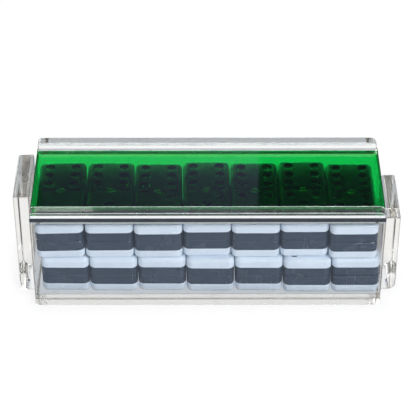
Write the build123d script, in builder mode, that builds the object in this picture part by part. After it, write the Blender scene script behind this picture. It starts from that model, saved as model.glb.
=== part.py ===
# Clear acrylic domino box: a grooved case, a green lid that slides out over the low end
# block, and a double-six set of dominoes in four layers.
# Millimetres. +X runs along the box to the low end block, +Y to the back, +Z up.
# The origin is the middle of the footprint, on the table.
from build123d import *
from math import radians, sin
import os

os.makedirs("parts", exist_ok=True)

# Dominoes: an ivory face half on a black back half
domino_length = 50.0
domino_width = 25.2
ivory_thickness = 5.75
black_thickness = 5.75
corner_cut = 2.2  # first flat across each upright corner
corner_ease = 0.9  # flats either side of it
face_ease = 1.5  # slope round the ivory face
back_ease = 0.5  # slope round the black back

# Pips, dividing line and spinner pin on the ivory face
pip_diameter = 5.0
pip_depth = 0.7
pip_sides = 12
pip_across = 6.9  # middle of a half to its outer pip columns
pip_along = 7.2  # middle of a half to its outer pip rows
divider_width = 1.1
divider_margin = 2.2  # end of the line to the side of the domino
divider_depth = 0.35
spinner_diameter = 4.4
spinner_depth = 1.6
spinner_slope = 30.0  # degrees that the pin narrows by towards its head
spinner_head = 0.6  # height of the sloping head
spinner_sides = 12

# How the set is packed
columns = 7
layers = 4
row_play = 5.2  # spare length for a row of dominoes
depth_play = 3.6  # spare depth in front of and behind them
upper_gap = 0.29  # between neighbours in the two upper layers
lower_gap = 0.33  # between neighbours in the two lower layers
right_gap = 0.05  # from the right end wall to the lower rows
left_gap = 0.55  # from the left end wall to the dominoes that lean towards it
front_gap = 0.3  # from the front wall to the dominoes nearest to it
upper_turns = (0.4, 0.6, 0.5, 0.5, 0.2, 0.2, 0.4)  # degrees, column by column
lower_turns = (-0.5, -0.6, -0.4, -0.5, -0.3, -0.2, 0.1)
lean = 1.2  # degrees that the first upper column leans against the left end wall
setbacks = (  # further back, layer by layer from the bottom and column by column
    (1.65, 1.1, 1.45, 0.9, 1.2, 0.0, 0.0),
    (0.9, 0.65, 1.05, 0.1, 0.55, 0.0, 0.75),
    (0.7, 1.25, 1.0, 2.6, 1.35, 2.1, 0.0),
    (0.9, 1.25, 0.3, 1.9, 1.1, 2.1, 0.1),
)

# Case
base_sheet = 4.76
wall_sheet = 6.35
end_sheet = 1.5
end_proud = 0.8  # end walls stand out past the ends of the long walls
wall_rise = 4.5  # long walls above the top of the lid
base_corner = 2.5  # rounding of the base's lower ends
wall_corner_left = 2.0  # rounding of the long walls' top corners
wall_corner_right = 3.5
edge_ease = 0.5  # polished slope along the long walls' top edges

# Lid and its grooves
lid_sheet = 3.2
lid_gap = 3.84  # above the top layer of dominoes
lid_run = 0.2  # running clearance over, under and beside the lid
lid_stop_gap = 0.35  # from the closed lid to the tall end block
lid_corner = 1.0
groove_depth = 3.2

# End blocks
block_stock = 8.4
block_depth = 37.5
block_setback = 12.5  # behind the front of the case
tall_block_rise = 0.9  # above the long walls
low_block_drop = 5.3  # below the underside of the lid
block_corner = 4.5  # rounding of the outer lower corner
block_ease = 0.8  # rounding of the top edges

# Worked out from the values above
domino_thickness = ivory_thickness + black_thickness
inner_width = columns * domino_width + row_play
inner_depth = domino_length + depth_play
case_length = inner_width + 2 * end_sheet - 2 * end_proud
case_depth = inner_depth + 2 * wall_sheet
end_face = inner_width / 2 + end_sheet
stack_top = base_sheet + layers * domino_thickness
lid_underside = stack_top + lid_gap
lid_top = lid_underside + lid_sheet
wall_top = lid_top + wall_rise
groove_bottom = lid_underside - lid_run
groove_height = lid_sheet + 2 * lid_run
lid_length = 2 * (end_face - lid_stop_gap)
lid_depth = inner_depth + 2 * (groove_depth - lid_run)
tall_block_height = wall_top + tall_block_rise
low_block_height = lid_underside - low_block_drop


def pip_spots(count):
    """Places of the pips in one half, seen with the other half below it."""
    across, along = pip_across, pip_along
    spots = []
    if count % 2:
        spots += [(0, 0)]
    if count >= 2:
        spots += [(across, along), (-across, -along)]
    if count >= 4:
        spots += [(-across, along), (across, -along)]
    if count == 6:
        spots += [(-across, 0), (across, 0)]
    return spots


def domino_outline(plane):
    """Plan of a domino, its upright corners eased by three flats each."""
    with BuildSketch(plane) as plan:
        Rectangle(domino_width, domino_length)
        chamfer(plan.vertices(), corner_cut)
        chamfer(plan.vertices(), corner_ease)
    return plan.sketch


with BuildPart() as black_half:
    extrude(domino_outline(Plane.XY), amount=black_thickness)
    chamfer(black_half.faces().sort_by(Axis.Z)[0].edges(), back_ease)

with BuildPart() as blank_half:
    extrude(domino_outline(Plane.XY.offset(black_thickness)), amount=ivory_thickness)
    chamfer(blank_half.faces().sort_by(Axis.Z)[-1].edges(), face_ease)
    with BuildSketch(Plane.XY.offset(domino_thickness)):
        Rectangle(domino_width - 2 * divider_margin, divider_width)
    extrude(amount=-divider_depth, mode=Mode.SUBTRACT)
    with BuildSketch(Plane.XY.offset(domino_thickness)):
        RegularPolygon(spinner_diameter / 2, spinner_sides)
    extrude(amount=-spinner_depth, mode=Mode.SUBTRACT)

with BuildPart() as pip_sink:
    with BuildSketch() as pip_rim:
        RegularPolygon(pip_diameter / 2, pip_sides)
    loft(sections=[pip_rim.sketch.face(), Vertex(0, 0, -pip_depth)])

# Brass pin in the middle of the face, its sloping head level with the face
pin_shoulder = Plane.XY.offset(domino_thickness - spinner_head)
with BuildPart() as spinner_pin:
    with BuildSketch(pin_shoulder):
        RegularPolygon(spinner_diameter / 2, spinner_sides)
    extrude(amount=spinner_head, taper=spinner_slope)
    with BuildSketch(pin_shoulder):
        RegularPolygon(spinner_diameter / 2, spinner_sides)
    extrude(amount=spinner_head - spinner_depth)


def make_domino(name, place, lean_angle, back_pips, front_pips):
    """One domino on a plane that lies on its black back, then leaned to the left."""
    half = domino_length / 4
    spots = [(x, y + half, domino_thickness) for x, y in pip_spots(back_pips)]
    spots += [(x, y - half, domino_thickness) for x, y in pip_spots(front_pips)]
    with BuildPart() as ivory_half:
        add(blank_half.part)
        if spots:
            with Locations(*spots):
                add(pip_sink.part, mode=Mode.SUBTRACT)
    pieces = [ivory_half.part, black_half.part, spinner_pin.part]
    pieces = [piece.moved(place.location).rotate(lean_axis, -lean_angle) for piece in pieces]
    domino = Compound(label=name, children=pieces)
    export_step(domino, f"parts/{name}.step")
    return domino


def long_wall(back_face):
    """Wall with rounded top corners and a groove for the lid along its inner face."""
    height = wall_top - base_sheet
    middle = back_face.offset(wall_sheet / 2).origin.Y
    inward = -1 if middle > 0 else 1
    groove_middle = middle + inward * (wall_sheet - groove_depth) / 2
    with BuildPart() as wall:
        with BuildSketch(back_face) as elevation:
            with Locations((0, base_sheet + height / 2)):
                Rectangle(case_length, height)
            top_corners = elevation.vertices().group_by(Axis.Y)[-1].sort_by(Axis.X)
            fillet(top_corners[0], wall_corner_left)
            top_right = elevation.vertices().group_by(Axis.Y)[-1].sort_by(Axis.X)[-1]
            fillet(top_right, wall_corner_right)
        extrude(amount=wall_sheet)
        chamfer(wall.edges().filter_by(Axis.X).group_by(Axis.Z)[-1], edge_ease)
        with BuildSketch(Plane.YZ):
            with Locations((groove_middle, groove_bottom + groove_height / 2)):
                Rectangle(groove_depth, groove_height)
        extrude(amount=case_length / 2, both=True, mode=Mode.SUBTRACT)
    return wall


def end_wall(side):
    """Thin wall between the long walls, as high as the lid lets it be."""
    height = groove_bottom - base_sheet
    with BuildPart() as wall:
        with BuildSketch(Plane.YZ.offset(side * (inner_width + end_sheet) / 2)):
            with Locations((0, base_sheet + height / 2)):
                Rectangle(inner_depth, height)
        extrude(amount=end_sheet / 2, both=True)
    return wall


def end_block(side, height):
    """Block on the outside of an end wall, standing on the table."""
    middle = side * (end_face + block_stock / 2)
    front = Plane.XZ.offset(case_depth / 2 - block_setback - block_depth)
    with BuildPart() as block:
        with BuildSketch(front) as elevation:
            with Locations((middle, height / 2)):
                Rectangle(block_stock, height)
            low_corners = elevation.vertices().group_by(Axis.Y)[0].sort_by(Axis.X)
            fillet(low_corners[-1 if side > 0 else 0], block_corner)
        extrude(amount=block_depth)
        fillet(block.faces().sort_by(Axis.Z)[-1].edges(), block_ease)
    return block


with BuildPart() as base_plate:
    with BuildSketch():
        Rectangle(case_length, case_depth)
    extrude(amount=base_sheet)
    fillet(base_plate.edges().filter_by(Axis.Y).group_by(Axis.Z)[0], base_corner)
base_plate.part.label = "base_plate"
export_step(base_plate.part, "parts/base_plate.step")

front_wall = long_wall(Plane.XZ.offset(inner_depth / 2))
front_wall.part.label = "front_wall"
export_step(front_wall.part, "parts/front_wall.step")

back_wall = long_wall(Plane.XZ.offset(-inner_depth / 2 - wall_sheet))
back_wall.part.label = "back_wall"
export_step(back_wall.part, "parts/back_wall.step")

left_end_wall = end_wall(-1)
left_end_wall.part.label = "left_end_wall"
export_step(left_end_wall.part, "parts/left_end_wall.step")

right_end_wall = end_wall(1)
right_end_wall.part.label = "right_end_wall"
export_step(right_end_wall.part, "parts/right_end_wall.step")

tall_end_block = end_block(-1, tall_block_height)
tall_end_block.part.label = "tall_end_block"
export_step(tall_end_block.part, "parts/tall_end_block.step")

low_end_block = end_block(1, low_block_height)
low_end_block.part.label = "low_end_block"
export_step(low_end_block.part, "parts/low_end_block.step")

with BuildPart() as sliding_lid:
    with BuildSketch(Plane.XY.offset(lid_underside)):
        Rectangle(lid_length, lid_depth)
    extrude(amount=lid_sheet)
    fillet(sliding_lid.edges().filter_by(Axis.Z), lid_corner)
sliding_lid.part.label = "sliding_lid"
export_step(sliding_lid.part, "parts/sliding_lid.step")

# The top layer shows every domino with a six, blank to double; the rest fill the layers below
top_row = [(6, low) for low in range(7)]
others = [(high, low) for high in range(5, -1, -1) for low in range(high, -1, -1)]
pairs = others + top_row
front_inside = -inner_depth / 2

# The lower rows stand against the right end wall, and the upper rows near the left one
lower_pitch = domino_width + lower_gap
lower_swing = domino_length / 2 * abs(sin(radians(lower_turns[-1])))
lower_last = inner_width / 2 - right_gap - lower_swing - domino_width / 2
lower_first = lower_last - (columns - 1) * lower_pitch
upper_pitch = domino_width + upper_gap
upper_swing = domino_length / 2 * abs(sin(radians(upper_turns[0])))
lean_reach = 2 * domino_thickness * sin(radians(lean))
upper_first = -inner_width / 2 + left_gap + upper_swing + lean_reach + domino_width / 2

# The leaning dominoes tip over the left side of the ones below
upper_underside = base_sheet + layers / 2 * domino_thickness
lean_axis = Axis((lower_first - domino_width / 2, 0, upper_underside), (0, 1, 0))

for number, (high, low) in enumerate(pairs):
    layer, column = divmod(number, columns)
    if layer < layers / 2:
        x = lower_first + column * lower_pitch
        turn = lower_turns[column]
        lean_angle = 0
    else:
        x = upper_first + column * upper_pitch
        turn = upper_turns[column]
        lean_angle = lean if column == 0 else 0
    y = front_inside + front_gap + setbacks[layer][column] + domino_length / 2
    underside = base_sheet + layer * domino_thickness
    across = Vector(1, 0, 0).rotate(Axis.Z, turn)
    if layer % 2:
        place = Plane(origin=(x, y, underside), x_dir=across, z_dir=(0, 0, 1))
    else:
        top = underside + domino_thickness
        place = Plane(origin=(x, y, top), x_dir=-across, z_dir=(0, 0, -1))
    make_domino(f"domino_{high}_{low}", place, lean_angle, high, low)
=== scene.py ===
# Clear acrylic domino box with a green sliding lid and a double-six set inside.
import math

import bpy
import numpy as np
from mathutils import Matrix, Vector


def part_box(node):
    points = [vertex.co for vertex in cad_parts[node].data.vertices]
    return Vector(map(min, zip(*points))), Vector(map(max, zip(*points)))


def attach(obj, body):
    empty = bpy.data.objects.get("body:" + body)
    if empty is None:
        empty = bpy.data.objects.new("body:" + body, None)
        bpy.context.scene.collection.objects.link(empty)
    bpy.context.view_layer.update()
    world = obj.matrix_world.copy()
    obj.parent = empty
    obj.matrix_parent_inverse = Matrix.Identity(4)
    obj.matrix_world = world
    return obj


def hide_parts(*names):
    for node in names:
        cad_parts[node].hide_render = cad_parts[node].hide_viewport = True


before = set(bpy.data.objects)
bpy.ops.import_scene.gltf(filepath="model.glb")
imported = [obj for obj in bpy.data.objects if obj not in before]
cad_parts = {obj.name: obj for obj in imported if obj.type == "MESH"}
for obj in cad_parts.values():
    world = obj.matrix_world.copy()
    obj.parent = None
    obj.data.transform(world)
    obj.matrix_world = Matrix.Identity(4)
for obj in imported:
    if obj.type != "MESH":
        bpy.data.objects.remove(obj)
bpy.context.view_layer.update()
scene = bpy.context.scene
mm = 0.001
white = (1, 1, 1)
print("frame loaded:", len(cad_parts), "nodes")


def addObject(name, data):
    added = bpy.data.objects.new(name, data)
    scene.collection.objects.link(added)
    return added


# Camera: where the photograph was taken from
view = {
    "place": (-1.7, -716.4, 605.3),  # mm from the middle of the footprint
    "pitch": 38.29,  # degrees below the horizon
    "yaw": 0.1375,  # degrees to the right of +Y
    "roll": -0.017,
    "lens": 148.07,  # mm
    "sensor": 36,  # its width, mm
    "nearest": 0.05,  # m, nothing closer is shown
    "bounces": 40,  # light needs many to run down the inside of a clear wall
    "glossyBounces": 24,
}
cameraData = bpy.data.cameras.new("photoCamera")
cameraData.lens = view["lens"]
cameraData.sensor_width = view["sensor"]
cameraData.clip_start = view["nearest"]
camera = addObject("photoCamera", cameraData)
camera.location = [v * mm for v in view["place"]]
camera.rotation_euler = [math.radians(a) for a in (90 - view["pitch"], view["roll"], -view["yaw"])]
scene.camera = camera
scene.view_settings.view_transform = "Standard"
scene.cycles.max_bounces = view["bounces"]
scene.cycles.transmission_bounces = view["bounces"]
scene.cycles.glossy_bounces = view["glossyBounces"]
scene.cycles.transparent_max_bounces = view["bounces"]


# Short ways to lay nodes: each gives back what the next one reads
def newMaterial(name):
    material = bpy.data.materials.new(name)
    material.use_nodes = True
    tree = material.node_tree
    tree.nodes.clear()
    output = tree.nodes.new("ShaderNodeOutputMaterial")
    return material, tree, output


def calculate(tree, operation, *values):
    node = tree.nodes.new("ShaderNodeMath")
    node.operation = operation
    for socket, value in zip(node.inputs, values):
        if hasattr(value, "links"):
            tree.links.new(value, socket)
        else:
            socket.default_value = value
    return node.outputs[0]


def multiply(tree, *values):
    product = values[0]
    for value in values[1:]:
        product = calculate(tree, "MULTIPLY", product, value)
    return product


def spread(tree, value, *limits):
    # the value runs smoothly from its own low and high limit to the new ones, and stays within those
    node = tree.nodes.new("ShaderNodeMapRange")
    node.interpolation_type = "SMOOTHSTEP"
    tree.links.new(value, node.inputs["Value"])
    for name, limit in zip(("From Min", "From Max", "To Min", "To Max"), limits):
        node.inputs[name].default_value = limit
    return node.outputs["Result"]


def within(tree, value, low, high, soft):
    # 1 between two limits, falling softly to 0 outside them
    rising = spread(tree, value, low - soft, low, 0, 1)
    return multiply(tree, rising, spread(tree, value, high, high + soft, 1, 0))


def placeOf(tree, stretch=(1, 1, 1), turn=(0, 0, 0)):
    # where the point is in the frame, in metres, turned and stretched for streaky patterns
    place = tree.nodes.new("ShaderNodeTexCoord").outputs["Object"]
    if stretch == (1, 1, 1):
        return place
    mapping = tree.nodes.new("ShaderNodeMapping")
    mapping.inputs["Rotation"].default_value = [math.radians(a) for a in turn]
    mapping.inputs["Scale"].default_value = stretch
    tree.links.new(place, mapping.inputs["Vector"])
    return mapping.outputs[0]


def splitAxes(tree, vector):
    # the three numbers of a place or a direction
    node = tree.nodes.new("ShaderNodeSeparateXYZ")
    tree.links.new(vector, node.inputs[0])
    return node.outputs


def noise(tree, place, scale, detail):
    node = tree.nodes.new("ShaderNodeTexNoise")
    node.inputs["Scale"].default_value = scale
    node.inputs["Detail"].default_value = detail
    tree.links.new(place, node.inputs["Vector"])
    return node.outputs[0]


def rayIs(tree, *kinds):
    # 1 for rays of the kinds named, 0 for the rest
    path = tree.nodes.new("ShaderNodeLightPath")
    found = path.outputs[kinds[0]]
    for kind in kinds[1:]:
        found = calculate(tree, "MAXIMUM", found, path.outputs[kind])
    return found


def blendColours(tree, share, first, second):
    node = tree.nodes.new("ShaderNodeMix")
    node.data_type = "RGBA"
    tree.links.new(share, node.inputs["Factor"])
    for name, colour in (("A", first), ("B", second)):
        if hasattr(colour, "links"):
            tree.links.new(colour, node.inputs[name])
        else:
            node.inputs[name].default_value = (*colour, 1)
    return node.outputs["Result"]


def blendShaders(tree, share, first, second):
    node = tree.nodes.new("ShaderNodeMixShader")
    for socket, source in zip(node.inputs, (share, first, second)):
        tree.links.new(source, socket)
    return node.outputs[0]


# Wear, the same way on every surface: slow patches, fine grain and hairline scratches
wear = {
    "noiseRange": (0.3, 0.7),  # values of a noise over which a pattern goes from none to full
    "noiseMiddle": 0.5,
    "grainLeast": 0.4,  # share of a patch that shows where its grain is weakest
    "patchDetail": 3,
    "grainDetail": 4,
    "streakDetail": 3,
    "placesDetail": 1,  # of the noise that says where scratches or bubbles are
}


# A look's scratches: how the noise is stretched and turned (degrees), the width of a line, the patches
# that keep it and the values they lie between, and how far it shows, dulls and cuts
def hairlines(tree, look):
    # thin lines where a streaky noise crosses its middle value, kept only in patches
    streaks = noise(tree, placeOf(tree, look["stretch"], look["turn"]), 1, wear["streakDetail"])
    off = calculate(tree, "ABSOLUTE", calculate(tree, "SUBTRACT", streaks, wear["noiseMiddle"]))
    line = spread(tree, off, 0, look["width"], 1, 0)
    places = noise(tree, placeOf(tree), look["patch"], wear["placesDetail"])
    return multiply(tree, line, spread(tree, places, *look["between"], 0, 1))


def finishSurface(tree, shader, look):
    # worn colour = the larger of patches * grain and the scratches; roughness = patches + scratches;
    # relief = grain - scratches
    low, high = wear["noiseRange"]
    patches = noise(tree, placeOf(tree), look["patchScale"], wear["patchDetail"])
    grain = noise(tree, placeOf(tree), look["grainScale"], wear["grainDetail"])
    scratch = hairlines(tree, look["scratch"])
    grainShare = spread(tree, grain, low, high, wear["grainLeast"], 1)
    mixed = multiply(tree, spread(tree, patches, low, high, 0, 1), grainShare)
    scratched = multiply(tree, scratch, look["scratch"]["shows"])
    marked = calculate(tree, "MAXIMUM", mixed, scratched)
    tree.links.new(blendColours(tree, marked, look["colour"], look["worn"]), shader.inputs["Base Color"])
    gloss = spread(tree, patches, low, high, *look["roughness"])
    dull = multiply(tree, scratch, look["scratch"]["roughness"])
    tree.links.new(calculate(tree, "ADD", gloss, dull), shader.inputs["Roughness"])
    relief = tree.nodes.new("ShaderNodeBump")
    relief.inputs["Strength"].default_value = 1
    relief.inputs["Distance"].default_value = look["reliefDepth"] * mm
    sunk = multiply(tree, scratch, look["scratch"]["depth"])
    tree.links.new(calculate(tree, "SUBTRACT", grain, sunk), relief.inputs["Height"])
    tree.links.new(relief.outputs[0], shader.inputs["Normal"])


def solidMaterial(name, look):
    material, tree, output = newMaterial(name)
    shader = tree.nodes.new("ShaderNodeBsdfPrincipled")
    for socket, value in look["sockets"].items():
        shader.inputs[socket].default_value = value
    finishSurface(tree, shader, look)
    tree.links.new(shader.outputs[0], output.inputs["Surface"])
    return material


# Studio: pale floor and backdrop, soft lamps and a quiet room
studio = {
    "floorColour": (0.92, 0.92, 0.92),
    "floorGlow": (0.95, 0.80, 0.95),  # its share that shows as plain white: under, beside and away
    "glowFrom": 0.012,  # m from the footprint over which that share rises
    "glowLevel": 1.03,
    "underWithin": 1e-5,  # m from the footprint that still counts as under the box
    "nearFloor": (0.42, 0.50, 0.62),  # the floor in front of the box, as glass and polish show it
    "farFloor": (1.0, 1.0, 1.0),  # and behind it
    "underFloor": (0.60, 0.64, 0.69),  # and under it, where little light comes
    "floorTurns": (-0.03, 0.03),  # m, from the one to the other
    "floorHalf": 4,  # m
    "floorDrop": 0.0002,  # m below the box, so that the two share no plane
    "surround": (0.05, 0.07, 0.11),  # the room, as lamps and polish see it
    "throughGlass": (0.60, 0.63, 0.67),  # the room, as clear pieces show it
    "sky": (0.38, 0.30, 0.70),  # a bluish patch of the room, which the lid mirrors on its left
    "skySides": (-0.1195, 0.0387),  # how far it runs to the sides, per m of distance behind
    "skyRises": (0.7368, 0.7955),  # and how high
    "skySoft": (0.002, 0.0005),  # its soft edges, to the sides and upwards
    "skyFade": (0.45, 0.55),  # what is left of it at its left end, and at its top
    "skyFadeRises": (0.73, 0.80),  # heights from which, and to which, it fades
    "window": (0.95, 0.97, 1.0),  # the pale part of the room above it
    "windowTop": 1.2,
    "leastAhead": 0.001,  # keeps a direction that points aside or back from a division by 0
}
backdrop = {"halfWidth": 3.0, "behind": 1.7, "height": 0.9}  # m, below the height that the lid mirrors
lamps = {  # m and watts
    "topLamp": {"place": (0, 0.1, 1.4), "aim": (0, 0, 0), "size": (1.2, 1.0), "power": 4.0},
    "keyLamp": {"place": (0.75, -0.95, 0.95), "size": (0.9, 0.7), "power": 18.5},
    "fillLamp": {"place": (-0.6, -1.05, 0.8), "size": (0.9, 0.7), "power": 3.7},
    "backLamp": {"place": (-0.2, 1.3, 0.45), "size": (1.4, 0.4), "power": 14.0},
    # a small one that leaves specks in rounded corners
    "sparkLamp": {"place": (0.45, -0.8, 0.55), "size": (0.03, 0.03), "power": 0.15},
}
backgroundRays = ("Is Camera Ray", "Is Glossy Ray", "Is Transmission Ray")  # these find it plain


def distanceFrom(tree, place, node):
    # on the floor, from a node's footprint: sqrt(dx^2 + dy^2) of what lies beyond its half length and depth
    low, high = [np.array(corner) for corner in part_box(node)]
    squares = []
    for axis, middle, half in zip(place[:2], (low + high) / 2, (high - low) / 2):
        away = calculate(tree, "ABSOLUTE", calculate(tree, "SUBTRACT", axis, float(middle)))
        beyond = calculate(tree, "MAXIMUM", calculate(tree, "SUBTRACT", away, float(half)), 0.0)
        squares.append(multiply(tree, beyond, beyond))
    return calculate(tree, "SQRT", calculate(tree, "ADD", *squares))


def glowOver(tree, output, share):
    # a matt pale surface, which shows a glow of its own in its place by that share
    matt = tree.nodes.new("ShaderNodeBsdfDiffuse")
    matt.inputs["Color"].default_value = (*studio["floorColour"], 1)
    glow = tree.nodes.new("ShaderNodeEmission")
    tree.links.new(blendShaders(tree, share, matt.outputs[0], glow.outputs[0]), output.inputs["Surface"])
    return glow


def makeFloorMaterial():
    # white to the camera, apart from the box's shadow, and shaded by its place to glass and polish
    material, tree, output = newMaterial("paleFloor")
    place = splitAxes(tree, placeOf(tree))
    behind = spread(tree, place[1], *studio["floorTurns"], 0, 1)
    indirect = blendColours(tree, behind, studio["nearFloor"], studio["farFloor"])
    distance = distanceFrom(tree, place, "base_plate")
    for block in ("tall_end_block", "low_end_block"):
        distance = calculate(tree, "MINIMUM", distance, distanceFrom(tree, place, block))
    under = calculate(tree, "LESS_THAN", distance, studio["underWithin"])
    indirect = blendColours(tree, under, indirect, studio["underFloor"])
    underShare, besideShare, awayShare = studio["floorGlow"]
    share = spread(tree, distance, 0, studio["glowFrom"], besideShare, awayShare)
    share = calculate(tree, "SUBTRACT", share, multiply(tree, under, besideShare - underShare))
    glow = glowOver(tree, output, multiply(tree, share, rayIs(tree, *backgroundRays)))
    glow.inputs["Strength"].default_value = studio["glowLevel"]
    seen = blendColours(tree, rayIs(tree, "Is Camera Ray"), indirect, white)
    tree.links.new(seen, glow.inputs["Color"])
    return material


def makeCardMaterial():
    material, tree, output = newMaterial("paleCard")
    glowOver(tree, output, rayIs(tree, *backgroundRays))
    return material


def makeRoom():
    # what a ray finds outside, by its direction: sideways = right / ahead, and rise = up / ahead
    world = bpy.data.worlds.new("studio")
    world.use_nodes = True
    tree = world.node_tree
    direction = tree.nodes.new("ShaderNodeTexCoord").outputs["Generated"]
    right, ahead, up = splitAxes(tree, direction)
    ahead = calculate(tree, "MAXIMUM", ahead, studio["leastAhead"])
    sideways = calculate(tree, "DIVIDE", right, ahead)
    rise = calculate(tree, "DIVIDE", up, ahead)
    polish = rayIs(tree, "Is Glossy Ray")
    glass = rayIs(tree, "Is Transmission Ray")
    sideSoft, riseSoft = studio["skySoft"]
    leftFade, topFade = studio["skyFade"]
    mirrored = within(tree, rise, *studio["skyRises"], riseSoft)  # the heights that the lid mirrors
    wide = within(tree, sideways, *studio["skySides"], sideSoft)
    fromLeft = spread(tree, sideways, *studio["skySides"], leftFade, 1)
    toTop = spread(tree, rise, *studio["skyFadeRises"], 1, topFade)
    sky = multiply(tree, wide, mirrored, fromLeft, toTop)
    window = within(tree, rise, studio["skyRises"][1], studio["windowTop"], riseSoft)
    beyond = calculate(tree, "SUBTRACT", 1.0, mirrored)
    seen = blendColours(tree, multiply(tree, sky, polish), studio["surround"], studio["sky"])
    seen = blendColours(tree, multiply(tree, glass, beyond), seen, studio["throughGlass"])
    seen = blendColours(tree, multiply(tree, window, polish), seen, studio["window"])
    seen = blendColours(tree, rayIs(tree, "Is Camera Ray"), seen, white)
    tree.links.new(seen, tree.nodes["Background"].inputs["Color"])
    return world


def addPlate(name, corners, material):
    mesh = bpy.data.meshes.new(name)
    mesh.from_pydata(corners, [], [(0, 1, 2, 3)])
    mesh.materials.append(material)
    return addObject(name, mesh)


def addLamp(name, place, size, power, aim=(0, 0, 0.03)):
    # tilt = atan2(flat distance, height) and turn = atan2(x, -y) of the line from the aim to the lamp
    data = bpy.data.lights.new(name, "AREA")
    data.shape = "RECTANGLE"
    data.size, data.size_y = size
    data.energy = power
    lamp = addObject(name, data)
    x, y, z = np.array(place, float) - np.array(aim, float)
    lamp.location = place
    lamp.rotation_euler = (math.atan2(math.hypot(x, y), z), 0, math.atan2(x, -y))


half, level = studio["floorHalf"], -studio["floorDrop"]
floorCorners = [(-half, -half, level), (half, -half, level), (half, half, level), (-half, half, level)]
floor = addPlate("floor", floorCorners, makeFloorMaterial())
half, behind, height = backdrop.values()
cardCorners = [(-half, behind, 0), (half, behind, 0), (half, behind, height), (-half, behind, height)]
card = addPlate("backdrop", cardCorners, makeCardMaterial())
scene.world = makeRoom()
for name, lamp in lamps.items():
    addLamp(name, **lamp)
print("studio ready")


# Acrylic: glass for the eye, and an open window for light on its way to the dominoes
acrylic = {
    "ior": 1.49,
    "clear": {
        "shade": (0.97, 0.97, 0.97),  # what each face lets through to the dominoes
        "takes": (0.0022, 0.0026, 0.0032),  # of each colour lost per mm, as an exponent
        "colour": (0.99, 0.992, 0.985),
        "worn": (0.965, 0.97, 0.965),
        "roughness": (0.0, 0.004),
        "patchScale": 22, "grainScale": 90,
        "reliefDepth": 0.002,  # mm
        "scratch": {"stretch": (90, 90, 9), "turn": (0, 12, 25), "width": 0.0035, "patch": 38,
                    "between": (0.56, 0.66), "shows": 0.5, "roughness": 0.35, "depth": 0.5},
    },
    "green": {
        "shade": (0.25, 0.09, 0.43),
        "takes": (1.5, 0.150, 0.68),
        "colour": (1.0, 1.0, 1.0),
        "worn": (0.96, 0.98, 0.97),
        "roughness": (0.0, 0.004),
        "patchScale": 18, "grainScale": 70,
        "reliefDepth": 0.002,
        "scratch": {"stretch": (12, 110, 60), "turn": (0, 0, 8), "width": 0.0035, "patch": 30,
                    "between": (0.56, 0.66), "shows": 0.5, "roughness": 0.3, "depth": 0.5},
    },
}


def acrylicMaterial(name, look):
    # the body leaves exp(-takes * mm) of each colour of the light that passes through it
    material, tree, output = newMaterial(name)
    glass = tree.nodes.new("ShaderNodeBsdfPrincipled")
    glass.inputs["IOR"].default_value = acrylic["ior"]
    glass.inputs["Transmission Weight"].default_value = 1
    finishSurface(tree, glass, look)
    window = tree.nodes.new("ShaderNodeBsdfTransparent")
    window.inputs[0].default_value = (*look["shade"], 1)
    onItsWay = rayIs(tree, "Is Shadow Ray", "Is Diffuse Ray")
    surface = blendShaders(tree, onItsWay, glass.outputs[0], window.outputs[0])
    tree.links.new(surface, output.inputs["Surface"])
    most = max(look["takes"])
    body = tree.nodes.new("ShaderNodeVolumeAbsorption")
    body.inputs["Color"].default_value = (*[1 - taken / most for taken in look["takes"]], 1)
    body.inputs["Density"].default_value = most / mm
    tree.links.new(body.outputs[0], output.inputs["Volume"])
    return material


# Cement: nothing to see where two sheets are joined, apart from a few trapped bubbles
cement = {
    "colour": (1.0, 1.0, 1.0),
    "bubbleColour": (0.75, 0.75, 0.75),
    "bubbleScale": 700,
    "bubbleSize": 0.28,  # share of the distance between bubbles
    "bubbleEdge": 0.8,  # share of its size from which a bubble fades out
    "patch": 60,
    "between": (0.6, 0.64),  # values of the noise over which bubbles come in
}


def makeCement():
    material, tree, output = newMaterial("clearCement")
    bubbles = tree.nodes.new("ShaderNodeTexVoronoi")
    bubbles.inputs["Scale"].default_value = cement["bubbleScale"]
    tree.links.new(placeOf(tree), bubbles.inputs["Vector"])
    size = cement["bubbleSize"]
    bubble = spread(tree, bubbles.outputs["Distance"], size * cement["bubbleEdge"], size, 1, 0)
    places = noise(tree, placeOf(tree), cement["patch"], wear["placesDetail"])
    found = multiply(tree, bubble, spread(tree, places, *cement["between"], 0, 1))
    joint = tree.nodes.new("ShaderNodeBsdfTransparent")
    tree.links.new(blendColours(tree, found, cement["colour"], cement["bubbleColour"]), joint.inputs[0])
    tree.links.new(joint.outputs[0], output.inputs["Surface"])
    return material


# Scraped edges: the long walls' upper edges were drawn over with a scraper, and stay a little milky
scraped = {
    "sockets": {"Transmission Weight": 0.15},
    "colour": (0.88, 0.91, 0.91),
    "worn": (0.55, 0.60, 0.60),
    "roughness": (0.35, 0.6),
    "patchScale": 90, "grainScale": 700,
    "reliefDepth": 0.02,
    "scratch": {"stretch": (30, 300, 300), "turn": (0, 0, 0), "width": 0.02, "patch": 60,
                "between": (0.45, 0.6), "shows": 0.6, "roughness": 0.2, "depth": 0.5},
}

greenSet = (acrylicMaterial("greenAcrylic", acrylic["green"]),)
clearSet = (acrylicMaterial("clearAcrylic", acrylic["clear"]), makeCement())  # open faces, cemented ones
wallSet = (*clearSet, solidMaterial("scrapedEdge", scraped))  # and scraped ones


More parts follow.
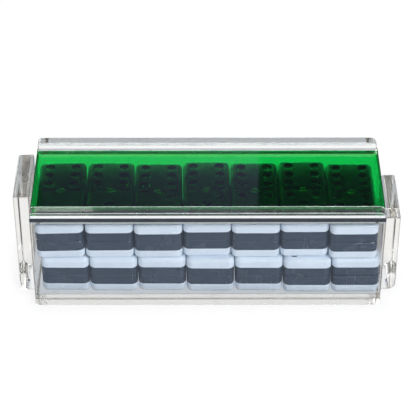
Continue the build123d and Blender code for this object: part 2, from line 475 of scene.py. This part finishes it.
# Case and lid: each piece is the outside of a lattice of blocks, its edges rolled over a small radius
lattice = {
    "edgeSteps": 3,  # faces over each half of a rolled edge
    "cornerSteps": 7,  # and over a rounded corner
    "cornerFade": 1.15,  # radii over which a rounded corner fades out
    "decimals": 5,  # of a mm, to which lines that are nearly one are made one
    "near": 1e-3,  # mm, closer than this is the same level
    "flat": 0.99999,  # a face squarer than this to an axis is shaded flat
}
basePlate = {"edge": 0.35, "corner": 2.5}  # mm, as are all sizes below
longWall = {
    "edge": 0.35,
    "topRound": 0.8,  # of the upper edge on the inside
    "cornerLeft": 2.0,  # of the top corners
    "cornerRight": 3.5,
    "scraped": (0.45, 0.9),  # strips along the top, beside its outer and its inner edge
    "scrapedDown": 0.45,  # and at the top of the inner face
    "grooveDepth": 3.7,
    "grooveRun": 0.12,  # room over and under the lid
    "lipRun": 1.2,  # the groove's lower lip slopes over this width
    "lipDrop": 0.7,  # and falls by this
    "lipFade": 2,  # times that drop, how far down the wall it is felt
    "lipEnds": (0.2, 1.2),  # from the end walls to where the slope begins, and to where it is full
}
endWall = {"edge": 0.15}
endBlock = {"edge": 0.7, "corner": 4.5}
slidingLid = {"edge": 0.35, "corner": 1.0}


def boxOf(node):
    return [np.array(corner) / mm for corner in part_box(node)]


def latticeLines(low, high, edge, cuts):
    # lines from low to high: close together where the edges roll over, edge * (1 - tan(a)) from each end
    # for even angles a up to 45 degrees, and one at each cut
    roll = edge * (1 - np.tan(np.radians(np.linspace(45, 0, lattice["edgeSteps"] + 1))))
    lines = np.concatenate([low + roll, high - roll, np.array(cuts, float)])
    return np.unique(np.round(lines[(lines >= low) & (lines <= high)], lattice["decimals"]))


def cornerCuts(end, inward, radius):
    # lines through a rounded corner at even angles a, radius * (1 - cos(a)) inwards from its end
    swing = np.radians(np.linspace(0, 90, lattice["cornerSteps"] + 1))[1:]
    return end + inward * radius * (1 - np.cos(swing))


def rollEdges(points, low, high, edge):
    # a point nearer than the edge radius to two or three faces moves along its ray from the rolled edge's
    # centre, until it is one radius away: centre + ray * largest side / length
    inner = np.clip(points, low + edge, high - edge)
    ray = points - inner
    largest = np.abs(ray).max(axis=1)
    length = np.sqrt((ray ** 2).sum(axis=1))
    scale = np.where(length > 0, largest / np.maximum(length, 1e-9), 1)
    return inner + ray * scale[:, None]


def drawCorners(points, low, high, corners):
    # near one end of an axis, one side of another axis draws back by r - sqrt(r^2 - s^2), where s is how
    # far the point lies inside the corner's radius r, fading out with the distance from that side
    points = points.copy()
    for axis, end, drawnAxis, side, radius in corners:
        reach = high[axis] - points[:, axis] if end > 0 else points[:, axis] - low[axis]
        inside = np.clip(radius - reach, 0, radius)
        drop = radius - np.sqrt(radius ** 2 - inside ** 2)
        drawn = points[:, drawnAxis]
        near = high[drawnAxis] - drawn if side > 0 else drawn - low[drawnAxis]
        points[:, drawnAxis] -= side * drop * np.clip(1 - near / (lattice["cornerFade"] * radius), 0, 1)
    return points


def latticeFaces(lines, filled):
    # quads between filled and empty cells of a lattice, seen from outside, and the axis each one faces
    counts = [len(line) for line in lines]
    index = np.arange(np.prod(counts)).reshape(counts)
    padded = np.pad(filled, 1)
    quads, axes = [], []
    for axis in range(3):
        order = (axis, (axis + 1) % 3, (axis + 2) % 3)
        cells = padded.transpose(order)[:, 1:-1, 1:-1]
        corners = index.transpose(order)
        around = [corners[:, :-1, :-1], corners[:, 1:, :-1], corners[:, 1:, 1:], corners[:, :-1, 1:]]
        faces = np.stack(around, axis=-1)
        ahead = cells[:-1] & ~cells[1:]
        behind = ~cells[:-1] & cells[1:]
        quads += [faces[ahead], faces[behind][:, ::-1]]
        axes += [np.full(ahead.sum(), axis), np.full(behind.sum(), axis)]
    return np.concatenate(quads), np.concatenate(axes)


def cementedFaces(centres, axes, joints):
    # faces that lie at the level of a joint and within its area
    cemented = np.zeros(len(centres), bool)
    for axis, level, lowSpan, highSpan in joints:
        others = [a for a in range(3) if a != axis]
        near = (axes == axis) & (np.abs(centres[:, axis] - level) < lattice["near"])
        spans = (centres[:, others] > lowSpan) & (centres[:, others] < highSpan)
        cemented |= near & np.all(spans, axis=1)
    return cemented


def sheetPiece(name, node, edge, cuts, materials, joints=(), corners=(), hollow=None, finishEdges=None):
    # a lattice box cut along each axis, with rolled edges and drawn corners, its faces cemented where joints
    # say so
    low, high = boxOf(node)
    lines = [latticeLines(low[axis], high[axis], edge, cuts[axis]) for axis in range(3)]
    points = np.stack(np.meshgrid(*lines, indexing="ij"), axis=-1).reshape(-1, 3)
    betweenLines = [(line[1:] + line[:-1]) / 2 for line in lines]
    middles = np.stack(np.meshgrid(*betweenLines, indexing="ij"), axis=-1)
    filled = np.ones(middles.shape[:3], bool)
    if hollow is not None:
        filled &= ~np.all((middles > hollow[0]) & (middles < hollow[1]), axis=-1)
    quads, axes = latticeFaces(lines, filled)
    centres = points[quads].mean(axis=1)
    cemented = cementedFaces(centres, axes, joints)
    points = drawCorners(rollEdges(points, low, high, edge), low, high, corners)
    milky = np.zeros(len(quads), bool)
    if finishEdges is not None:
        points, milky = finishEdges(points, centres, axes)
    used, quads = np.unique(quads, return_inverse=True)
    quads = quads.reshape(-1, 4)
    points = points[used]
    corner = points[quads]
    normal = np.cross(corner[:, 2] - corner[:, 0], corner[:, 3] - corner[:, 1])
    normal /= np.maximum(np.linalg.norm(normal, axis=1), 1e-12)[:, None]
    mesh = bpy.data.meshes.new(name)
    mesh.from_pydata((points * mm).tolist(), [], quads.tolist())
    mesh.polygons.foreach_set("material_index", cemented.astype(np.int32) + 2 * milky)
    mesh.polygons.foreach_set("use_smooth", np.abs(normal).max(axis=1) < lattice["flat"])
    mesh.update()
    for material in materials:
        mesh.materials.append(material)
    piece = addObject(name, mesh)
    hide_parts(node)
    return piece


baseLow, baseHigh = boxOf("base_plate")
frontLow, frontHigh = boxOf("front_wall")
backLow, backHigh = boxOf("back_wall")
leftLow, leftHigh = boxOf("left_end_wall")
rightLow, rightHigh = boxOf("right_end_wall")
tallLow, tallHigh = boxOf("tall_end_block")
lowLow, lowHigh = boxOf("low_end_block")
lidLow, lidHigh = boxOf("sliding_lid")
baseTop = baseHigh[2]
thinEdge, wallEdge, blockEdge = endWall["edge"], longWall["edge"], endBlock["edge"]

# joints: the axis across the joint, its level, and the low and high corner of the cemented area
wallJoints = {
    "front": (2, baseTop, frontLow[:2] + wallEdge, frontHigh[:2] - wallEdge),
    "back": (2, baseTop, backLow[:2] + wallEdge, backHigh[:2] - wallEdge),
}
ends = {
    "left": (baseLow[0] + wallEdge, leftHigh[0] - thinEdge),
    "right": (rightLow[0] + thinEdge, baseHigh[0] - wallEdge),
}
footJoints, sideJoints = {}, {}
for side, (low, high) in ends.items():
    footJoints[side] = (2, baseTop, (low, leftLow[1] + thinEdge), (high, leftHigh[1] - thinEdge))
    for wall, level in (("front", frontHigh[1]), ("back", backLow[1])):
        sideJoints[side, wall] = (1, level, (low, baseTop + wallEdge), (high, leftHigh[2] - thinEdge))
blockJoints = {
    "left": (0, leftLow[0], (tallLow[1] + blockEdge, baseTop + thinEdge),
             (tallHigh[1] - blockEdge, leftHigh[2] - thinEdge)),
    "right": (0, rightHigh[0], (lowLow[1] + blockEdge, baseTop + thinEdge),
              (lowHigh[1] - blockEdge, lowHigh[2] - blockEdge)),
}


def makeBase():
    radius = basePlate["corner"]
    xCuts = [*cornerCuts(baseLow[0], 1, radius), *cornerCuts(baseHigh[0], -1, radius),
             leftHigh[0] - thinEdge, rightLow[0] + thinEdge]
    yCuts = [frontHigh[1] - wallEdge, leftLow[1] + thinEdge, leftHigh[1] - thinEdge, backLow[1] + wallEdge]
    cuts = xCuts, yCuts, [lattice["cornerFade"] * radius]
    joints = [*wallJoints.values(), *footJoints.values()]
    corners = [(0, end, 2, -1, radius) for end in (-1, 1)]
    return sheetPiece("basePlate", "base_plate", basePlate["edge"], cuts, clearSet, joints, corners)


def makeLongWall(name, node, wall, inward):
    low, high = boxOf(node)
    left, right, top = longWall["cornerLeft"], longWall["cornerRight"], longWall["topRound"]
    run, drop = longWall["lipRun"], longWall["lipDrop"]
    fade = longWall["lipFade"] * drop
    slopeEnds = np.array(longWall["lipEnds"])
    grooveLow, grooveHigh = lidLow[2] - longWall["grooveRun"], lidHigh[2] + longWall["grooveRun"]
    inner = high[1] if inward > 0 else low[1]
    grooveFloor = inner - inward * longWall["grooveDepth"]
    strips = longWall["scraped"][::inward]  # on the low and on the high side
    xCuts = [*cornerCuts(low[0], 1, left), *cornerCuts(high[0], -1, right),
             leftHigh[0] - thinEdge, rightLow[0] + thinEdge,
             *(leftHigh[0] + slopeEnds), *(rightLow[0] - slopeEnds)]
    yCuts = [*cornerCuts(inner, -inward, top), low[1] + strips[0], high[1] - strips[1], grooveFloor,
             inner - inward * run]
    zCuts = [grooveLow, grooveHigh, grooveLow - thinEdge, high[2] - lattice["cornerFade"] * right,
             high[2] - lattice["cornerFade"] * top, high[2] - longWall["scrapedDown"], grooveLow - fade]
    sides = sorted([grooveFloor, inward * np.inf])
    hollow = (np.array([-np.inf, sides[0], grooveLow]), np.array([np.inf, sides[1], grooveHigh]))
    joints = [wallJoints[wall], sideJoints["left", wall], sideJoints["right", wall]]
    corners = [(0, -1, 2, 1, left), (0, 1, 2, 1, right), (1, inward, 2, 1, top)]

    def finishEdges(points, centres, axes):
        # scraped along the upper edges; between the end walls the groove's lower lip falls by
        # drop * (1 - distance from the inner face / run), less and less further down the wall
        besideEdge = (centres[:, 1] < low[1] + strips[0]) | (centres[:, 1] > high[1] - strips[1])
        milky = (axes == 2) & (centres[:, 2] > high[2] - lattice["near"]) & besideEdge
        onInner = (axes == 1) & (np.abs(centres[:, 1] - inner) < lattice["near"])
        milky |= onInner & (centres[:, 2] > high[2] - longWall["scrapedDown"])
        x, y, z = points.T
        near = np.clip(1 - np.abs(y - inner) / run, 0, 1)
        below = np.where(z < grooveLow + lattice["near"], np.clip((z - grooveLow + fade) / fade, 0, 1), 0)
        fromLeft = np.interp(x - leftHigh[0], slopeEnds, (0, 1))
        fromRight = np.interp(rightLow[0] - x, slopeEnds, (0, 1))
        return np.stack([x, y, z - drop * near * below * fromLeft * fromRight], axis=-1), milky

    cuts = xCuts, yCuts, zCuts
    return sheetPiece(name, node, wallEdge, cuts, wallSet, joints, corners, hollow, finishEdges)


def makeEndWall(name, node, side):
    blockLow, blockHigh = (tallLow, tallHigh) if side == "left" else (lowLow, lowHigh)
    cuts = (
        [baseLow[0] + wallEdge, baseHigh[0] - wallEdge],
        [blockLow[1] + blockEdge, blockHigh[1] - blockEdge],
        [baseTop + wallEdge, blockHigh[2] - blockEdge],
    )
    joints = [footJoints[side], sideJoints[side, "front"], sideJoints[side, "back"], blockJoints[side]]
    return sheetPiece(name, node, thinEdge, cuts, clearSet, joints)


def makeBlock(name, node, side):
    low, high = boxOf(node)
    radius, outward = endBlock["corner"], -1 if side == "left" else 1
    outer = low[0] if side == "left" else high[0]
    zCuts = [baseTop + thinEdge, leftHigh[2] - thinEdge, lattice["cornerFade"] * radius]
    cuts = cornerCuts(outer, -outward, radius), [], zCuts
    corners = [(0, outward, 2, -1, radius)]
    return sheetPiece(name, node, blockEdge, cuts, clearSet, [blockJoints[side]], corners)


def makeLid():
    radius = slidingLid["corner"]
    fade = lattice["cornerFade"] * radius
    xCuts = [*cornerCuts(lidLow[0], 1, radius), *cornerCuts(lidHigh[0], -1, radius)]
    cuts = xCuts, [lidLow[1] + fade, lidHigh[1] - fade], []
    corners = [(0, end, 1, side, radius) for end in (-1, 1) for side in (-1, 1)]
    return sheetPiece("slidingLid", "sliding_lid", slidingLid["edge"], cuts, greenSet, corners=corners)


clearPieces = [
    makeBase(),
    makeLongWall("frontWall", "front_wall", "front", 1),
    makeLongWall("backWall", "back_wall", "back", -1),
    makeEndWall("leftEndWall", "left_end_wall", "left"),
    makeEndWall("rightEndWall", "right_end_wall", "right"),
    makeBlock("tallEndBlock", "tall_end_block", "left"),
    makeBlock("lowEndBlock", "low_end_block", "right"),
]
for piece in clearPieces:
    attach(piece, "case")
lid = makeLid()
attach(lid, "lid")
print("case and lid made:", len(clearPieces) + 1, "pieces")


# Dominoes: one rounded shell each, ivory over black, with sunk pips, a dividing line and a brass pin
domino = {
    "width": 25.2,
    "length": 50.0,
    "ivory": 5.75,
    "black": 5.75,
    "corner": 3.3,  # rounding seen from above
    "cornerLeast": 0.05,  # what is left of it where the outline is drawn in
    "cornerSteps": 4,  # points from the end of a straight side to the middle of a corner
    "faceRound": 2.5,  # rounding round the ivory face
    "backRound": 0.75,
    "roundSteps": (6, 3),  # rings over the one and over the other
    "seam": 0.12,  # depth of the line between ivory and black
    "seamHalf": (0.03, 0.14),  # half its width at its floor and at its top
    "gridX": (-10.0, -3.45, 3.45, 10.0),  # cells of the face, one round each place for a pip
    "gridY": (-22.42, -16.1, -8.9, -2.6, 2.6, 8.9, 16.1, 22.42),
    "cellSteps": 8,  # divisions along the side of a cell
    "lip": (0.12, 0.3),  # of a pip or the pin's hole: its width, and the share at which its middle ring lies
    "pinCell": (1, 3),
    "weldDecimals": 4,  # of a mm, to which points that are nearly one are made one
    "sharpFrom": 40,  # degrees
    "layers": 4,
    "lift": 0.04,  # off the sheet or domino below
    "upperTurns": (0.4, 0.6, 0.5, 0.5, 0.2, 0.2, 0.4),  # degrees, column by column
    "lowerTurns": (-0.5, -0.6, -0.4, -0.5, -0.3, -0.2, 0.1),
    "lean": 1.2,  # of the first upper column, degrees
}
pip = {
    "radius": 2.5,
    "depth": 0.7,
    "across": 6.9,  # from one column of pips to the next
    "along": 7.2,
    "lipDrops": (0.02, 0.06),  # depth on the rounded lip, and where the bowl begins
    "bowlSteps": 5,
}
dividingLine = {
    "half": (0.65, 0.9),  # half its width at its floor and at its top
    "depth": 0.35,
    "margin": 1.4,  # from its ends to the side of the domino
    "endRun": 0.6,  # its ends slope over this
    "paintedFrom": 0.02,  # depth at which the paint begins
}
pin = {
    "radius": 2.1,
    "hole": 2.25,
    "holeDepth": 1.2,
    "holeTaper": 0.02,
    "floorRing": 0.5,  # a ring on the hole's floor, at this share of its radius
    "foot": 0.05,  # above the hole's floor
    "shoulder": 0.55,  # below the face, where the dome begins
    "dome": 0.5,
    "domeSteps": 4,
    "sides": 24,
}
steps = domino["cellSteps"]
thickness = domino["ivory"] + domino["black"]
gridX, gridY = np.array(domino["gridX"]), np.array(domino["gridY"])
pinColumn, pinRow = domino["pinCell"]
ivoryFace, paintedFace, blackFace, brassFace = range(4)  # material slots of a domino


def cellLines(ends, index, middle=None):
    # the lines that divide one cell along an axis: even ones, or closer beside the dividing line
    low, high = ends[index], ends[index + 1]
    if middle is not None and index == middle:
        floorHalf, topHalf = dividingLine["half"]
        half = [0, floorHalf, topHalf, (topHalf + high) / 2, high]
        return np.array([-v for v in half[:0:-1]] + half)
    return low + (high - low) * np.arange(steps + 1) / steps


def gridLines(ends, middle=None):
    # the lines of all cells along an axis
    cells = [cellLines(ends, index, middle)[:-1] for index in range(len(ends) - 1)]
    return np.append(np.concatenate(cells), ends[-1])


def quadGrid(rows, columns, wrap=False):
    # faces of a grid of points in rows, the last column joined to the first where it wraps
    index = np.arange(rows * columns).reshape(rows, columns)
    following = np.roll(index, -1, axis=1) if wrap else index[:, 1:]
    index = index if wrap else index[:, :-1]
    return np.stack([index[:-1], following[:-1], following[1:], index[1:]], axis=-1).reshape(-1, 4)


def lineDent(x, y):
    # height of the dividing line: -depth * side * end, both 1 on its floor and 0 outside it
    floorHalf, topHalf = dividingLine["half"]
    side = np.clip((topHalf - np.abs(y)) / (topHalf - floorHalf), 0, 1)
    fromEnd = domino["width"] / 2 - dividingLine["margin"] - np.abs(x)
    return -dividingLine["depth"] * side * np.clip(fromEnd / dividingLine["endRun"], 0, 1)


def inLine(middles):
    # faces whose middle lies on the floor or the sides of the dividing line, outside the pin's hole
    outside = np.hypot(middles[:, 0], middles[:, 1]) > pin["hole"]
    sunk = middles[:, 2] < -dividingLine["paintedFrom"]
    return outside & (np.abs(middles[:, 1]) < dividingLine["half"][1]) & sunk


def rimOf(xs, ys):
    # points round a rectangle, anticlockwise from its lower left corner, the last of each side left out
    across, along = np.ones(len(xs) - 1), np.ones(len(ys) - 1)
    x = np.concatenate([xs[:-1], xs[-1] * along, xs[:0:-1], xs[0] * along])
    return x, np.concatenate([ys[0] * across, ys[:-1], ys[-1] * across, ys[:0:-1]])


def bowlRings():
    # radii and drops of a pip: a small rounded lip, then a bowl, depth * (1 - r^2) for r from 1 to 0
    lip, middle = domino["lip"]
    lipDrop, bowlTop = pip["lipDrops"]
    share = np.linspace(1, 0, pip["bowlSteps"] + 1)[:-1]
    radii = np.concatenate([[pip["radius"] + lip, pip["radius"] + middle * lip], pip["radius"] * share])
    bowl = -bowlTop - (pip["depth"] - bowlTop) * (1 - share ** 2)
    return radii, np.concatenate([[0, -lipDrop], bowl]), pip["depth"]


def holeRings():
    # radii and drops of the pin's hole: the lip, a steep side and a flat floor
    lip, middle = domino["lip"]
    radius, depth = pin["hole"], pin["holeDepth"]
    inside = [radius, radius - pin["holeTaper"], radius * pin["floorRing"]]
    radii = np.array([radius + lip, radius + middle * lip, *inside])
    return radii, np.array([0, -middle * lip, -lip, -depth, -depth]), depth


def sunkCell(xs, ys, centre, radii, drops, depth):
    # a cell whose rim runs in to rings of those radii and drops round a centre, closed by a fan
    x, y = rimOf(xs, ys)
    turn = math.radians(225) + np.arange(x.size) * (2 * math.pi / x.size)  # from the lower left corner
    ringX = centre[0] + np.outer(radii, np.cos(turn))
    ringY = centre[1] + np.outer(radii, np.sin(turn))
    ringZ = np.repeat(drops[:, None], turn.size, axis=1)
    ringZ[:2] += lineDent(ringX[:2], ringY[:2])  # the dividing line runs into the pin's lip
    allX = np.concatenate([x, ringX.ravel(), [centre[0]]])
    allY = np.concatenate([y, ringY.ravel(), [centre[1]]])
    allZ = np.concatenate([lineDent(x, y), ringZ.ravel(), [-depth]])
    rows = 1 + len(radii)
    quads = quadGrid(rows, turn.size, wrap=True)
    last = (rows - 1) * turn.size + np.arange(turn.size)
    fan = np.stack([last, np.roll(last, -1), np.full(turn.size, rows * turn.size)], axis=-1)
    return np.stack([allX, allY, allZ], axis=-1), quads, fan


def flatCell(xs, ys):
    # a plain cell, with no fan: a grid with the dividing line's dent in it
    x, y = np.meshgrid(xs, ys)
    points = np.stack([x.ravel(), y.ravel(), lineDent(x, y).ravel()], axis=-1)
    return points, quadGrid(len(ys), len(xs)), np.zeros((0, 3), int)


def roundOutline(drawnIn, across, along):
    # rounded rectangle drawn in by a distance, with as many points on each side as the face's rim has
    radius = max(domino["corner"] - drawnIn, domino["cornerLeast"])
    arc = domino["cornerSteps"]
    lead = np.radians(np.linspace(45, 0, arc + 1)[:-1])

    def side(halfRun, halfOut, count):
        # half a corner, a straight run and half a corner, its last point left out
        lowRun = -halfRun + radius - radius * np.sin(lead)
        lowOut = halfOut - radius + radius * np.cos(lead)
        straight = np.linspace(-halfRun + radius, halfRun - radius, count - 2 * arc + 1)
        run = np.concatenate([lowRun, straight, -lowRun[::-1]])[:-1]
        out = np.concatenate([lowOut, np.full(straight.size, halfOut), lowOut[::-1]])[:-1]
        return run, out

    halfX, halfY = domino["width"] / 2 - drawnIn, domino["length"] / 2 - drawnIn
    runX, outY = side(halfX, halfY, across)
    runY, outX = side(halfY, halfX, along)
    return np.concatenate([runX, outX, -runX, -outX]), np.concatenate([-outY, runY, outY, -runY])


def pipCells(backPips, frontPips):
    # cells of the face that hold a pip: 3 columns, rows 0 to 2 in the front half and 4 to 6 in the back half
    spots = {0: [], 1: [(1, 1)], 2: [(2, 2), (0, 0)], 3: [(2, 2), (0, 0), (1, 1)]}
    spots[4] = spots[2] + [(0, 2), (2, 0)]
    spots[5] = spots[4] + [(1, 1)]
    spots[6] = spots[4] + [(0, 1), (2, 1)]
    return {(column, row + 4) for column, row in spots[backPips]} | set(spots[frontPips])


def addPart(shell, points, *groups):
    # points, and groups of faces of one finish each, which count from the first of those points
    start = sum(len(part) for part in shell["points"])
    shell["points"].append(points)
    for faces, finish in groups:
        shell["faces"].append(faces + start)
        shell["finishes"].append(np.full(len(faces), finish))


def addFace(shell, backPips, frontPips):
    # the ivory face, cell by cell: pips, the pin's hole in the middle, and the rest plain
    pipX = (-pip["across"], 0, pip["across"])
    frontY = [-domino["length"] / 4 + n * pip["along"] for n in (-1, 0, 1)]
    pipY = frontY + [0] + [y + domino["length"] / 2 for y in frontY]
    withPip = pipCells(backPips, frontPips)
    level = (0, 0, thickness)
    for column in range(len(pipX)):
        for row in range(len(pipY)):
            lines = (cellLines(gridX, column), cellLines(gridY, row, pinRow))
            if (column, row) in withPip:
                points, quads, fan = sunkCell(*lines, (pipX[column], pipY[row]), *bowlRings())
                painted = np.arange(len(quads)) >= 2 * 4 * steps  # all but the rim and the lip
                fanFinish = paintedFace
            else:
                isPin = (column, row) == (pinColumn, pinRow)
                points, quads, fan = sunkCell(*lines, (0, 0), *holeRings()) if isPin else flatCell(*lines)
                painted = inLine(points[quads].mean(axis=1))
                fanFinish = ivoryFace
            groups = (quads[~painted], ivoryFace), (quads[painted], paintedFace), (fan, fanFinish)
            addPart(shell, points + level, *groups)


def addSide(shell):
    # rings from the rim of the face over its rounding, down past the seam and under, and the underside
    rimX, rimY = rimOf(gridLines(gridX), gridLines(gridY, pinRow))
    over, under = [np.radians(np.linspace(0, 90, count + 1)) for count in domino["roundSteps"]]
    seam = domino["seam"]
    floorHalf, topHalf = domino["seamHalf"]
    insets = np.concatenate([
        domino["faceRound"] * (1 - np.sin(over)),
        [0, seam, seam, 0],
        domino["backRound"] * (1 - np.cos(under)),
    ])
    heights = np.concatenate([
        thickness - domino["faceRound"] * (1 - np.cos(over)),
        domino["black"] + np.array([topHalf, floorHalf, -floorHalf, -topHalf]),
        domino["backRound"] * (1 - np.sin(under)),
    ])
    across, along = steps * (len(gridX) - 1), steps * (len(gridY) - 1)
    rings = [np.stack([rimX, rimY, np.full(rimX.size, thickness)], axis=-1)]
    for drawnIn, height in zip(insets, heights):
        x, y = roundOutline(drawnIn, across, along)
        rings.append(np.stack([x, y, np.full(x.size, height)], axis=-1))
    quads = quadGrid(len(rings), rimX.size, wrap=True)[:, ::-1]
    ivoryCount = (over.size + 2) * rimX.size  # down to the middle of the seam
    underside = (len(rings) - 1) * rimX.size + np.arange(rimX.size)[None, ::-1]
    groups = (quads[:ivoryCount], ivoryFace), (quads[ivoryCount:], blackFace), (underside, blackFace)
    addPart(shell, np.concatenate(rings), *groups)


def addPin(shell):
    # brass pin: a low dome, radius * cos(a) wide and dome * sin(a) high, on a short neck
    rise = np.radians(np.linspace(0, 90, pin["domeSteps"] + 1))[:-1]
    count = np.arange(pin["sides"])
    turn = count * (2 * math.pi / count.size)
    foot, shoulder = thickness - pin["holeDepth"] + pin["foot"], thickness - pin["shoulder"]
    radii = pin["radius"] * np.concatenate([[1], np.cos(rise)])
    levels = np.concatenate([[foot], shoulder + pin["dome"] * np.sin(rise)])
    x, y = np.outer(radii, np.cos(turn)), np.outer(radii, np.sin(turn))
    rings = np.stack([x, y, np.repeat(levels[:, None], count.size, axis=1)], axis=-1).reshape(-1, 3)
    ends = [[0, 0, shoulder + pin["dome"]], [0, 0, foot]]
    last = (len(radii) - 1) * count.size + count
    top = np.stack([last, np.roll(last, -1), np.full(count.size, len(rings))], axis=-1)
    sole = np.stack([np.roll(count, -1), count, np.full(count.size, len(rings) + 1)], axis=-1)
    side = quadGrid(len(radii), count.size, wrap=True)
    addPart(shell, np.concatenate([rings, ends]), *[(faces, brassFace) for faces in (side, top, sole)])


def dominoShell(backPips, frontPips):
    # one domino lying on its back, the middle of its footprint at 0, 0
    shell = {"points": [], "faces": [], "finishes": []}
    addFace(shell, backPips, frontPips)
    addSide(shell)
    addPin(shell)
    return shell


def weldedMesh(name, shell, placed):
    # points that share a place on the unturned domino become one, and sharp edges stay sharp
    points = np.round(np.concatenate(shell["points"]), domino["weldDecimals"])
    _, first, to = np.unique(points, axis=0, return_index=True, return_inverse=True)
    to = to.ravel()
    polygons = [face for group in shell["faces"] for face in to[group].tolist()]
    mesh = bpy.data.meshes.new(name)
    mesh.from_pydata((placed[first] * mm).tolist(), [], polygons)
    mesh.polygons.foreach_set("material_index", np.concatenate(shell["finishes"]).astype(np.int32))
    mesh.polygons.foreach_set("use_smooth", np.ones(len(polygons), bool))
    mesh.set_sharp_from_angle(angle=math.radians(domino["sharpFrom"]))
    mesh.update()
    return mesh


def turned(points, axis, angle):
    # rotation about a main axis by the right-hand rule, in degrees
    cosine, sine = math.cos(math.radians(angle)), math.sin(math.radians(angle))
    one, other = (axis + 1) % 3, (axis + 2) % 3
    turnedPoints = points.copy()
    turnedPoints[:, one] = cosine * points[:, one] - sine * points[:, other]
    turnedPoints[:, other] = sine * points[:, one] + cosine * points[:, other]
    return turnedPoints


def placedAt(points, middle, layer, column):
    # face down in every other layer, turned with its column, leaned where it leans, and moved to its middle
    placed = points - (0, 0, thickness / 2)
    if layer % 2 == 0:
        placed = placed * (-1, 1, -1)
    upper = layer >= domino["layers"] / 2
    placed = turned(placed, 2, domino["upperTurns" if upper else "lowerTurns"][column])
    if upper and column == 0:
        placed = turned(placed, 1, -domino["lean"])
    return placed + middle + (0, 0, domino["lift"])


# Resin, paint and brass
scuffs = {"stretch": (40, 40, 160), "turn": (20, 35, 15), "width": 0.006, "patch": 120,
          "between": (0.56, 0.64), "shows": 0.6, "roughness": 0.3, "depth": 0.6}
dominoFinishes = {  # in the order of the slots
    # the ivory's bluish cast is painted light: the cool light on the tile fronts, put into its colour
    "ivoryResin": {"sockets": {}, "colour": (0.72, 0.82, 0.93), "worn": (0.67, 0.77, 0.89),
                   "roughness": (0.16, 0.28), "patchScale": 60, "grainScale": 900, "reliefDepth": 0.006},
    "pipPaint": {"sockets": {"Specular IOR Level": 0.2}, "colour": (0.004, 0.005, 0.007),
                 "worn": (0.012, 0.014, 0.018), "roughness": (0.3, 0.5),
                 "patchScale": 200, "grainScale": 1500, "reliefDepth": 0.02},
    # the black resin is a dark slate, and its blue tint is partly painted light, the same cool light
    "blackResin": {"sockets": {}, "colour": (0.020, 0.033, 0.058), "worn": (0.032, 0.048, 0.078),
                   "roughness": (0.16, 0.30), "patchScale": 60, "grainScale": 900, "reliefDepth": 0.006},
    # the brass is painted much darker than brass is: painted shade for the dim light and dark reflections
    # under the green lid
    "brass": {"sockets": {"Metallic": 1.0}, "colour": (0.15, 0.11, 0.05), "worn": (0.10, 0.07, 0.03),
              "roughness": (0.1, 0.2), "patchScale": 500, "grainScale": 2500, "reliefDepth": 0.01},
}

dominoSet = [solidMaterial(name, {**look, "scratch": scuffs}) for name, look in dominoFinishes.items()]

# A layer's dominoes are counted from the left, and their nodes are named for their pips
dominoNodes = [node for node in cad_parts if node.startswith("domino_")]
middles = {node: sum(boxOf(node)) / 2 for node in dominoNodes}
layerOf = {node: round((middles[node][2] - baseTop) / thickness - 0.5) for node in dominoNodes}
for layer in range(domino["layers"]):
    inLayer = [node for node in dominoNodes if layerOf[node] == layer]
    for column, node in enumerate(sorted(inLayer, key=lambda node: middles[node][0])):
        high, low = [int(count) for count in node.split("_")[1:]]
        shell = dominoShell(high, low)
        placed = placedAt(np.concatenate(shell["points"]), middles[node], layer, column)
        name = f"tile_{high}_{low}"
        mesh = weldedMesh(name, shell, placed)
        for material in dominoSet:
            mesh.materials.append(material)
        tile = addObject(name, mesh)
        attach(tile, "case")
        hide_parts(node)
print("dominoes made:", len(dominoNodes))
